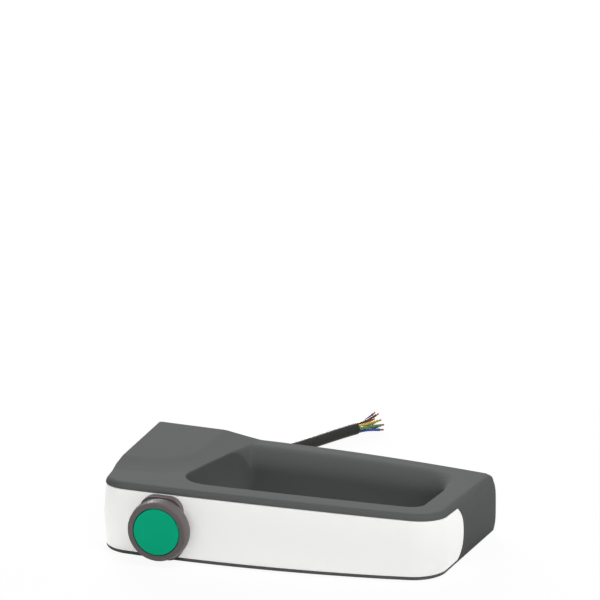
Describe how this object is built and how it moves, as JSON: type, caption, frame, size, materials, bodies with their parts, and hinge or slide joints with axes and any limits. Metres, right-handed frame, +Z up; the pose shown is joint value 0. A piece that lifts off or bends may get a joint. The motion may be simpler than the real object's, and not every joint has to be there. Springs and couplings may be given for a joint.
{
  "type": "grip handle with push button switch",
  "caption": "Bow-shaped machine guard grip handle with a finger opening, a white lit front cover, a green push button on a pedestal and a stripped cable tail.",
  "frame": {"origin": "centre of the handle's box in plan, on the surface that it lies on, without the cable", "axes": "+X along the handle away from the button, +Y out of the mounting face, +Z up from the flat side it lies on"},
  "size_m": [0.171, 0.2338, 0.036],
  "materials": {
    "grip": "fine moulded texture, satin",
    "cover": "smooth diffusing white",
    "cap": "satin",
    "bezel": "satin",
    "inner_plastic": "moulded",
    "plunger": "moulded",
    "emitter": "clear yellowish cap",
    "board": "solder resist",
    "rubber": "matte",
    "sheath": "satin",
    "steel": "zinc plated",
    "brass": "turned",
    "copper": "tinned strands",
    "wire_green": "extruded insulation",
    "wire_yellow": "extruded insulation",
    "wire_maroon": "extruded insulation",
    "wire_violet": "extruded insulation",
    "wire_pink": "extruded insulation",
    "wire_red": "extruded insulation",
    "wire_black": "extruded insulation",
    "wire_blue": "extruded insulation"
  },
  "bodies": {
    "grip": {"grip_body": "grip", "bay_plate": "grip", "light_cover": "cover", "led_board": "board", "led_emitters": "emitter", "board_screws": "steel", "housing_screws": "steel", "bay_plate_screws": "steel", "return_spring": "steel", "button_housing": "bezel", "bezel_ring": "bezel", "housing_seal": "rubber", "cable_grommet": "rubber", "contact_block": "inner_plastic", "terminal_screws": "brass", "threaded_inserts": "brass", "cable_sheath": "sheath", "wire_tips": "copper", "wire_green": "wire_green", "wire_yellow": "wire_yellow", "wire_maroon": "wire_maroon", "wire_violet": "wire_violet", "wire_pink": "wire_pink", "wire_red": "wire_red", "wire_black": "wire_black", "wire_blue": "wire_blue"},
    "button": {"button_cap": "cap", "button_stem": "inner_plastic", "push_plate": "inner_plastic", "contact_plunger": "plunger"}
  },
  "joints": [
    {"name": "button_press", "type": "slide", "parent": "grip", "child": "button", "axis": [0, 1, 0], "range_m": [0, 0.003], "stiffness_N_per_m": 800, "springref_m": -0.002, "deforming": ["return_spring"]}
  ]
}
